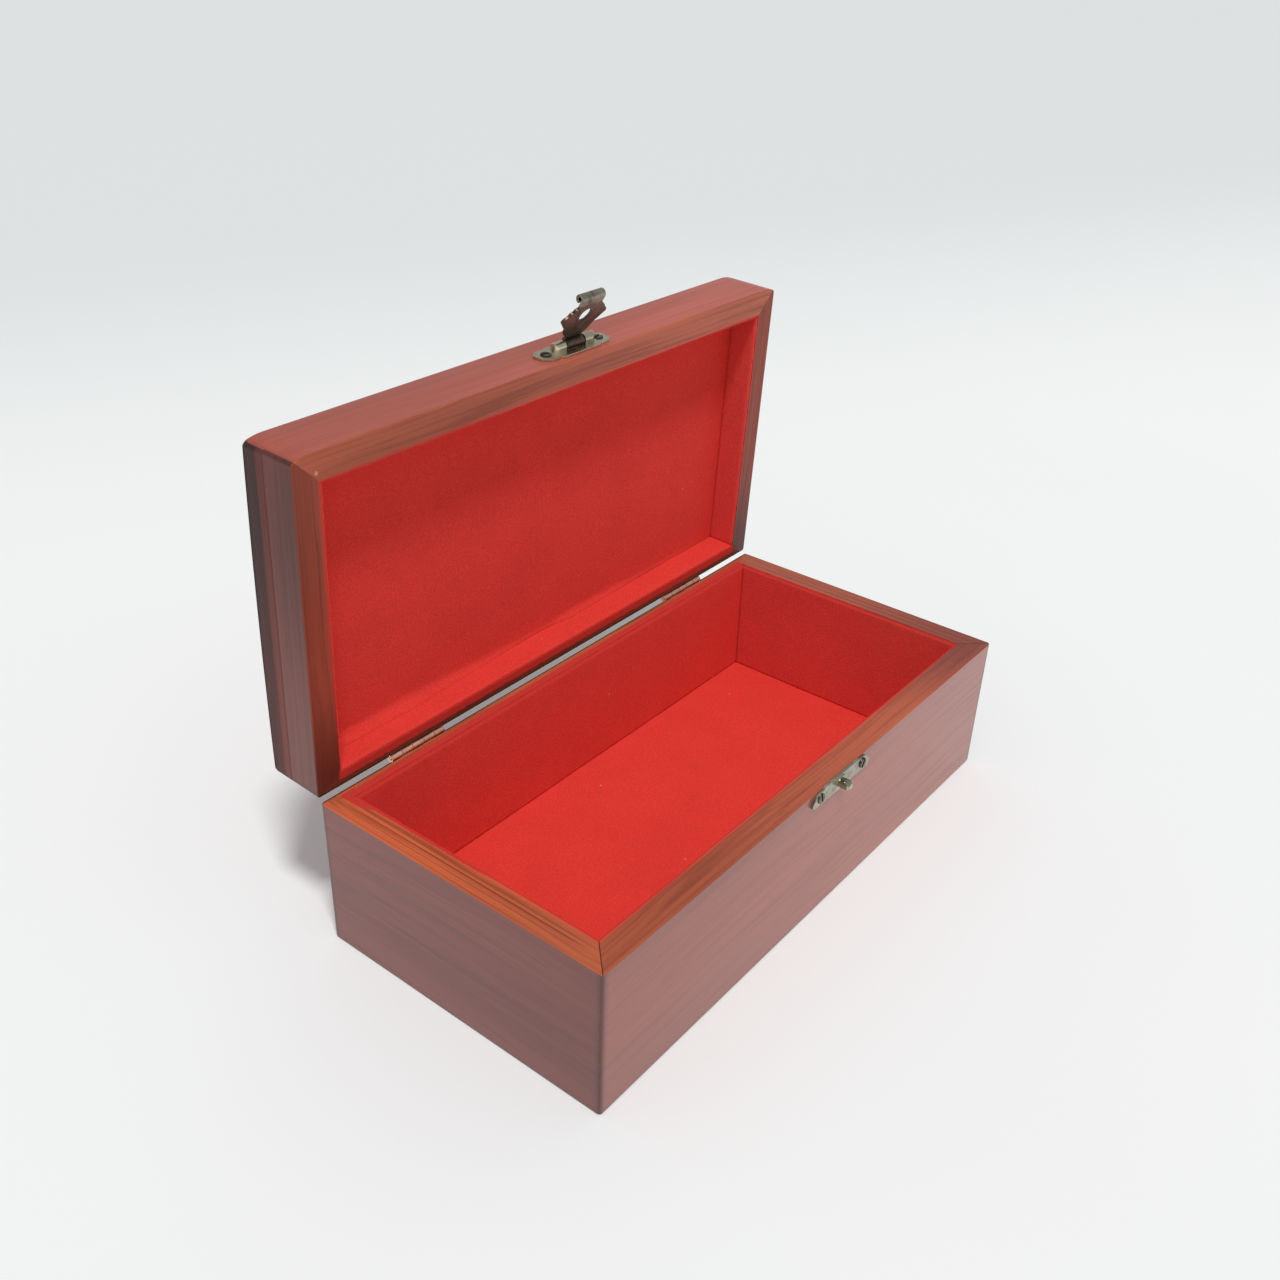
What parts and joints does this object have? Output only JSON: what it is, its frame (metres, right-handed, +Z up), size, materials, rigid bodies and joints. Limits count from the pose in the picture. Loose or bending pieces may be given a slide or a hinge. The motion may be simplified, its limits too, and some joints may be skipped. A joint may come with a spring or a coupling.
{
  "type": "lined wooden presentation box",
  "caption": "Rectangular lacquered wooden box with a red-lined base and lid, butt hinges at the back and a swinging hasp that drops over a peg on the front.",
  "frame": {"origin": "centre of the base's underside, where the box stands", "axes": "+X along the box's length, -Y to the front where the latch is, +Z up; the lid rests open"},
  "size_m": [0.2, 0.1227, 0.1654],
  "materials": {
    "lacquered_wood": "satin lacquer over red-brown stained wood, straight dark grain",
    "board_wood": "stained board, thin lacquer",
    "red_flock": "matt red flock sheet",
    "antique_brass": "aged brass plating",
    "dark_bronze": "dark brown antique bronze",
    "hinge_brass": "reddish bright brass",
    "screw_brass": "aged slotted screws"
  },
  "bodies": {
    "base": {"base_front_panel": "lacquered_wood", "base_back_panel": "lacquered_wood", "base_left_panel": "lacquered_wood", "base_right_panel": "lacquered_wood", "base_bottom_panel": "board_wood", "base_floor_lining": "red_flock", "base_front_lining": "red_flock", "base_back_lining": "red_flock", "base_left_lining": "red_flock", "base_right_lining": "red_flock", "catch_plate": "antique_brass", "catch_screws": "screw_brass", "hinge_left_base_leaf": "hinge_brass", "hinge_left_pin": "hinge_brass", "hinge_left_base_screws": "screw_brass", "hinge_right_base_leaf": "hinge_brass", "hinge_right_pin": "hinge_brass", "hinge_right_base_screws": "screw_brass"},
    "lid": {"lid_front_rail": "lacquered_wood", "lid_back_rail": "lacquered_wood", "lid_left_rail": "lacquered_wood", "lid_right_rail": "lacquered_wood", "lid_top_panel": "lacquered_wood", "lid_top_lining": "red_flock", "lid_front_lining": "red_flock", "lid_back_lining": "red_flock", "lid_left_lining": "red_flock", "lid_right_lining": "red_flock", "hinge_left_lid_leaf": "hinge_brass", "hinge_left_lid_screws": "screw_brass", "hinge_right_lid_leaf": "hinge_brass", "hinge_right_lid_screws": "screw_brass", "hasp_plate": "antique_brass", "hasp_pin": "screw_brass", "hasp_plate_screws": "screw_brass"},
    "hasp": {"hasp": "dark_bronze"}
  },
  "joints": [
    {"name": "lid_hinge", "type": "hinge", "parent": "base", "child": "lid", "pos_m": [0, 0.05015, 0.0478], "axis": [-1, 0, 0], "range_deg": [-87.5, 0]},
    {"name": "hasp_hinge", "type": "hinge", "parent": "lid", "child": "hasp", "pos_m": [0.0046, 0.05156, 0.14951], "axis": [-1, 0, 0], "range_deg": [-60, 90]}
  ]
}
